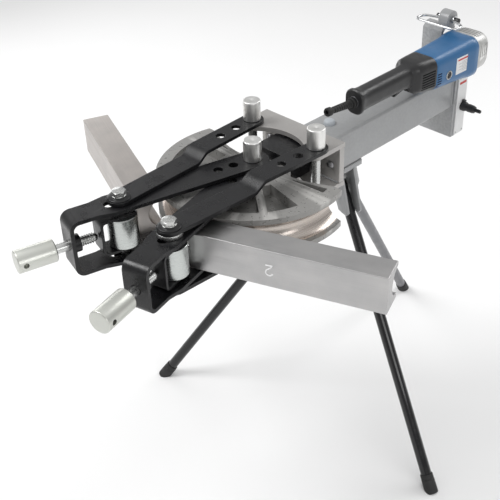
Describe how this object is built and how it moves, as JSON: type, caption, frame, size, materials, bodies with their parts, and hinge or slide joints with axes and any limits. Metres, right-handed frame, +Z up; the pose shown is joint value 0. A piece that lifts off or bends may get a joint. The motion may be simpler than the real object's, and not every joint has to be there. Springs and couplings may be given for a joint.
{
  "type": "powered ram tube bender on a tripod",
  "caption": "Ram tube bender with a grooved half-round former, two swinging arms with follow bars and rollers, a square beam, drive motor and folding tripod.",
  "frame": {"origin": "floor level, under the middle of the machine's bounding box", "axes": "+X to the right side of the bending head, +Y from the bending head back to the motor and gearbox, +Z up"},
  "size_m": [0.8804, 1.2126, 0.9013],
  "materials": {
    "grey_paint": "satin light grey enamel",
    "black_powder_coat": "satin black powder coat",
    "zinc_steel": "bright zinc plate",
    "turned_aluminium": "machined, satin",
    "cast_aluminium": "cast, lightly polished",
    "dark_steel": "dull",
    "bright_wire": "polished",
    "blue_plastic": "moulded blue nylon",
    "black_plastic": "moulded",
    "rubber": "matt",
    "white_panel": "printed panel",
    "black_gloss_tube": "gloss black enamel"
  },
  "bodies": {
    "frame": {"head_top_plate": "grey_paint", "head_bottom_plate": "grey_paint", "head_back_wall": "grey_paint", "wall_bolt_left": "zinc_steel", "wall_bolt_right": "zinc_steel", "beam_tube": "grey_paint", "gearbox_plate": "grey_paint", "gearbox_case": "grey_paint", "side_panel": "white_panel", "handle_sleeve": "grey_paint", "handle_pin": "black_plastic", "motor_housing": "blue_plastic", "brush_cap": "black_plastic", "motor_gear_head": "cast_aluminium", "motor_handle": "black_plastic", "cord_guard": "rubber", "stand_bracket": "grey_paint", "leg_bolt_rear": "zinc_steel", "leg_bolt_front_left": "zinc_steel", "leg_bolt_front_right": "zinc_steel"},
    "ram": {"ram_block": "black_powder_coat", "ram_tube": "zinc_steel", "bending_die": "cast_aluminium"},
    "drive_screw": {"lead_screw": "dark_steel"},
    "centre_pin_body": {"centre_pin": "zinc_steel", "centre_knob": "turned_aluminium"},
    "side_pin_left_body": {"side_pin_left": "zinc_steel", "side_knob_left": "turned_aluminium"},
    "side_pin_right_body": {"side_pin_right": "zinc_steel", "side_knob_right": "turned_aluminium"},
    "arm_left": {"yoke_left": "black_powder_coat", "roller_bolt_left": "zinc_steel", "domed_washer_left": "black_powder_coat"},
    "arm_right": {"yoke_right": "black_powder_coat", "roller_bolt_right": "zinc_steel", "domed_washer_right": "black_powder_coat", "spacer_washer_right": "zinc_steel"},
    "roller_left_body": {"roller_left": "zinc_steel"},
    "roller_right_body": {"roller_right": "zinc_steel"},
    "cradle_left": {"roller_cradle_left": "black_powder_coat"},
    "cradle_right": {"roller_cradle_right": "black_powder_coat"},
    "clamp_left": {"clamp_screw_left": "zinc_steel", "clamp_knob_left": "turned_aluminium"},
    "clamp_right": {"clamp_screw_right": "zinc_steel", "clamp_knob_right": "turned_aluminium"},
    "bar_left": {"follow_bar_left": "turned_aluminium"},
    "bar_right": {"follow_bar_right": "turned_aluminium"},
    "links_left": {"link_left_top": "black_powder_coat", "link_left_bottom": "black_powder_coat"},
    "links_right": {"link_right_top": "black_powder_coat", "link_right_bottom": "black_powder_coat"},
    "selector": {"selector_lever": "black_plastic"},
    "trigger_body": {"trigger": "black_plastic"},
    "bail": {"bail_handle": "bright_wire"},
    "leg_rear_body": {"leg_rear": "dark_steel", "foot_rear": "rubber"},
    "leg_front_left_body": {"leg_front_left": "black_gloss_tube", "foot_front_left": "rubber"},
    "leg_front_right_body": {"leg_front_right": "black_gloss_tube", "foot_front_right": "rubber"}
  },
  "joints": [
    {"name": "ram_slide", "type": "slide", "parent": "frame", "child": "ram", "axis": [0, -1, 0], "range_m": [-0.007, 0.0589]},
    {"name": "drive_screw_turn", "type": "hinge", "parent": "frame", "child": "drive_screw", "pos_m": [-0.00027, 0.28561, 0.72], "axis": [0, 1, 0], "range_deg": [-425, 3539]},
    {"name": "centre_pin_lift", "type": "slide", "parent": "ram", "child": "centre_pin_body", "axis": [0, 0, 1], "range_m": [0, 0.15]},
    {"name": "side_pin_left_lift", "type": "slide", "parent": "frame", "child": "side_pin_left_body", "axis": [0, 0, 1], "range_m": [0, 0.13]},
    {"name": "arm_left_swing", "type": "hinge", "parent": "ram", "child": "arm_left", "pos_m": [-0.00027, -0.10439, 0.707], "axis": [0, 0, -1], "range_deg": [-4.2, 32]},
    {"name": "links_left_swing", "type": "hinge", "parent": "frame", "child": "links_left", "pos_m": [-0.09227, -0.01439, 0.735], "axis": [0, 0, -1], "range_deg": [-3, 22.5]},
    {"name": "bar_left_feed", "type": "slide", "parent": "arm_left", "child": "bar_left", "axis": [0.9304, -0.3665, 0], "range_m": [-0.0135, 0.1105]},
    {"name": "roller_left_spin", "type": "hinge", "parent": "arm_left", "child": "roller_left_body", "pos_m": [-0.07413, -0.38999, 0.707], "axis": [0, 0, 1], "continuous": true},
    {"name": "cradle_left_slide", "type": "slide", "parent": "arm_left", "child": "cradle_left", "axis": [-0.2504, -0.9681, 0], "range_m": [0, 0.012]},
    {"name": "clamp_left_turn", "type": "hinge", "parent": "cradle_left", "child": "clamp_left", "pos_m": [-0.10793, -0.52069, 0.707], "axis": [-0.2504, -0.9681, 0], "range_deg": [-5, 1085]},
    {"name": "side_pin_right_lift", "type": "slide", "parent": "frame", "child": "side_pin_right_body", "axis": [0, 0, 1], "range_m": [0, 0.13]},
    {"name": "arm_right_swing", "type": "hinge", "parent": "ram", "child": "arm_right", "pos_m": [-0.00027, -0.10439, 0.707], "axis": [0, 0, 1], "range_deg": [-4.2, 32]},
    {"name": "links_right_swing", "type": "hinge", "parent": "frame", "child": "links_right", "pos_m": [0.09173, -0.01439, 0.735], "axis": [0, 0, 1], "range_deg": [-3, 22.5]},
    {"name": "bar_right_feed", "type": "slide", "parent": "arm_right", "child": "bar_right", "axis": [-0.9304, -0.3665, 0], "range_m": [-0.0135, 0.1105]},
    {"name": "roller_right_spin", "type": "hinge", "parent": "arm_right", "child": "roller_right_body", "pos_m": [0.07359, -0.38999, 0.707], "axis": [0, 0, 1], "continuous": true},
    {"name": "cradle_right_slide", "type": "slide", "parent": "arm_right", "child": "cradle_right", "axis": [0.2504, -0.9681, 0], "range_m": [0, 0.012]},
    {"name": "clamp_right_turn", "type": "hinge", "parent": "cradle_right", "child": "clamp_right", "pos_m": [0.1074, -0.52069, 0.707], "axis": [0.2504, -0.9681, 0], "range_deg": [-5, 1085]},
    {"name": "selector_turn", "type": "hinge", "parent": "frame", "child": "selector", "pos_m": [0.06973, 0.55661, 0.663], "axis": [1, 0, 0], "range_deg": [-45, 45]},
    {"name": "trigger_pull", "type": "hinge", "parent": "frame", "child": "trigger_body", "pos_m": [0.05273, 0.32761, 0.803], "axis": [-1, 0, 0], "range_deg": [0, 7], "stiffness_Nm_per_rad": 0.6, "springref_deg": -8.59},
    {"name": "bail_swing", "type": "hinge", "parent": "frame", "child": "bail", "pos_m": [-0.00027, 0.53461, 0.8813], "axis": [-1, 0, 0], "range_deg": [-28, 150]},
    {"name": "leg_rear_fold", "type": "hinge", "parent": "frame", "child": "leg_rear_body", "pos_m": [-0.00652, 0.18436, 0.60088], "axis": [-0.9755, -0.2198, 0], "range_deg": [0, 32]},
    {"name": "leg_front_left_fold", "type": "hinge", "parent": "frame", "child": "leg_front_left_body", "pos_m": [-0.02117, 0.13733, 0.60088], "axis": [0.6782, -0.7349, 0], "range_deg": [0, 32]},
    {"name": "leg_front_right_fold", "type": "hinge", "parent": "frame", "child": "leg_front_right_body", "pos_m": [0.02689, 0.14816, 0.60088], "axis": [0.2974, 0.9548, 0], "range_deg": [0, 32]}
  ],
  "couplings": [
    {"joint": "drive_screw_turn", "follows": "ram_slide", "rad_per_m": 1047.2},
    {"joint": "arm_left_swing", "follows": "ram_slide", "rad_per_m": 9.35},
    {"joint": "links_left_swing", "follows": "ram_slide", "rad_per_m": 6.5},
    {"joint": "bar_left_feed", "follows": "ram_slide", "ratio": 1.87},
    {"joint": "clamp_left_turn", "follows": "cradle_left_slide", "rad_per_m": 1570.8},
    {"joint": "arm_right_swing", "follows": "ram_slide", "rad_per_m": 9.35},
    {"joint": "links_right_swing", "follows": "ram_slide", "rad_per_m": 6.5},
    {"joint": "bar_right_feed", "follows": "ram_slide", "ratio": 1.87},
    {"joint": "clamp_right_turn", "follows": "cradle_right_slide", "rad_per_m": 1570.8}
  ]
}
